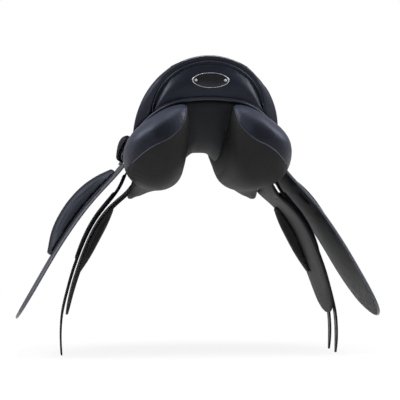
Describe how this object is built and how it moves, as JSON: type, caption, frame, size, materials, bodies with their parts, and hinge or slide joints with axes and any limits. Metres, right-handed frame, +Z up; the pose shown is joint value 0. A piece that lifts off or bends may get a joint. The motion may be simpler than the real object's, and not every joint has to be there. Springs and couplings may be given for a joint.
{
  "type": "dressage saddle",
  "caption": "Black leather dressage saddle with a deep seat, high rounded cantle, stuffed panels, long straight flaps with blocks, and girth billets",
  "frame": {"origin": "On the saddle's centre plane, level with the panels' lowest line, below the middle of the seat", "axes": "+Y to the horse's head, +X to the horse's right, +Z up"},
  "size_m": [0.828, 0.508, 0.6543],
  "materials": {
    "black_leather": "smooth black calf with a soft sheen",
    "panel_leather": "soft black leather, nearly matt",
    "seat_foam": "open latex foam, matt",
    "laminated_beech": "bare laminated wood",
    "linen_web": "woven web, matt",
    "spring_steel": "plain rolled and forged steel",
    "polished_plate": "bright plated metal"
  },
  "bodies": {
    "saddle": {"belly_web": "linen_web", "cantle_facing": "black_leather", "cantle_welt": "black_leather", "catch_pin_l": "spring_steel", "catch_pin_r": "spring_steel", "dee_chape_l": "black_leather", "dee_chape_r": "black_leather", "girth_web_l": "linen_web", "girth_web_r": "linen_web", "gullet_lining": "panel_leather", "gullet_plate": "spring_steel", "gusset_l": "black_leather", "gusset_r": "black_leather", "head_facing": "black_leather", "head_plate": "spring_steel", "knee_pad_l": "panel_leather", "knee_pad_r": "panel_leather", "nameplate": "polished_plate", "panel_binding": "black_leather", "panel_l": "panel_leather", "panel_r": "panel_leather", "plate_screw_l": "spring_steel", "plate_screw_r": "spring_steel", "point_pocket_l": "black_leather", "point_pocket_r": "black_leather", "pommel_nail_l": "polished_plate", "pommel_nail_r": "polished_plate", "seat_cover": "black_leather", "seat_foam": "seat_foam", "seat_web": "linen_web", "spring_strip_l": "spring_steel", "spring_strip_r": "spring_steel", "stirrup_bar_l": "spring_steel", "stirrup_bar_r": "spring_steel", "sweat_flap_l": "black_leather", "sweat_flap_r": "black_leather", "tree_frame": "laminated_beech"},
    "flap_left": {"flap_l": "black_leather", "thigh_block_l": "black_leather", "keeper_l": "black_leather"},
    "skirt_left": {"skirt_l": "black_leather"},
    "billets_left": {"billet_front_l": "black_leather", "billet_rear_l": "black_leather", "buckle_guard_l": "black_leather"},
    "catch_left": {"bar_catch_l": "spring_steel"},
    "dee_left": {"dee_ring_l": "polished_plate"},
    "flap_right": {"flap_r": "black_leather", "thigh_block_r": "black_leather", "keeper_r": "black_leather"},
    "skirt_right": {"skirt_r": "black_leather"},
    "billets_right": {"billet_front_r": "black_leather", "billet_rear_r": "black_leather", "buckle_guard_r": "black_leather"},
    "catch_right": {"bar_catch_r": "spring_steel"},
    "dee_right": {"dee_ring_r": "polished_plate"}
  },
  "joints": [
    {"name": "flap_left_lift", "type": "hinge", "parent": "saddle", "child": "flap_left", "pos_m": [-0.174, 0.02, 0.06], "axis": [0, 1, 0], "range_deg": [0, 60]},
    {"name": "skirt_left_lift", "type": "hinge", "parent": "saddle", "child": "skirt_left", "pos_m": [-0.0788, 0.195, 0.121], "axis": [0.24, 0.9706, 0.0177], "range_deg": [0, 60]},
    {"name": "billets_left_swing", "type": "hinge", "parent": "saddle", "child": "billets_left", "pos_m": [-0.166, 0.004, 0.036], "axis": [0, 1, 0], "range_deg": [0, 8]},
    {"name": "bar_catch_left", "type": "hinge", "parent": "saddle", "child": "catch_left", "pos_m": [-0.10546, 0.0365, 0.0974], "axis": [-1, 0, 0], "range_deg": [0, 30]},
    {"name": "dee_left_swing", "type": "hinge", "parent": "saddle", "child": "dee_left", "pos_m": [-0.049, 0.21633, 0.116], "axis": [1, 0, 0], "range_deg": [0, 80]},
    {"name": "flap_right_lift", "type": "hinge", "parent": "saddle", "child": "flap_right", "pos_m": [0.174, 0.02, 0.06], "axis": [0, -1, 0], "range_deg": [0, 60]},
    {"name": "skirt_right_lift", "type": "hinge", "parent": "saddle", "child": "skirt_right", "pos_m": [0.0788, 0.195, 0.121], "axis": [0.24, -0.9706, -0.0177], "range_deg": [0, 60]},
    {"name": "billets_right_swing", "type": "hinge", "parent": "saddle", "child": "billets_right", "pos_m": [0.166, 0.004, 0.036], "axis": [0, -1, 0], "range_deg": [0, 8]},
    {"name": "bar_catch_right", "type": "hinge", "parent": "saddle", "child": "catch_right", "pos_m": [0.10546, 0.0365, 0.0974], "axis": [-1, 0, 0], "range_deg": [0, 30]},
    {"name": "dee_right_swing", "type": "hinge", "parent": "saddle", "child": "dee_right", "pos_m": [0.049, 0.21643, 0.116], "axis": [1, 0, 0], "range_deg": [0, 80]}
  ]
}
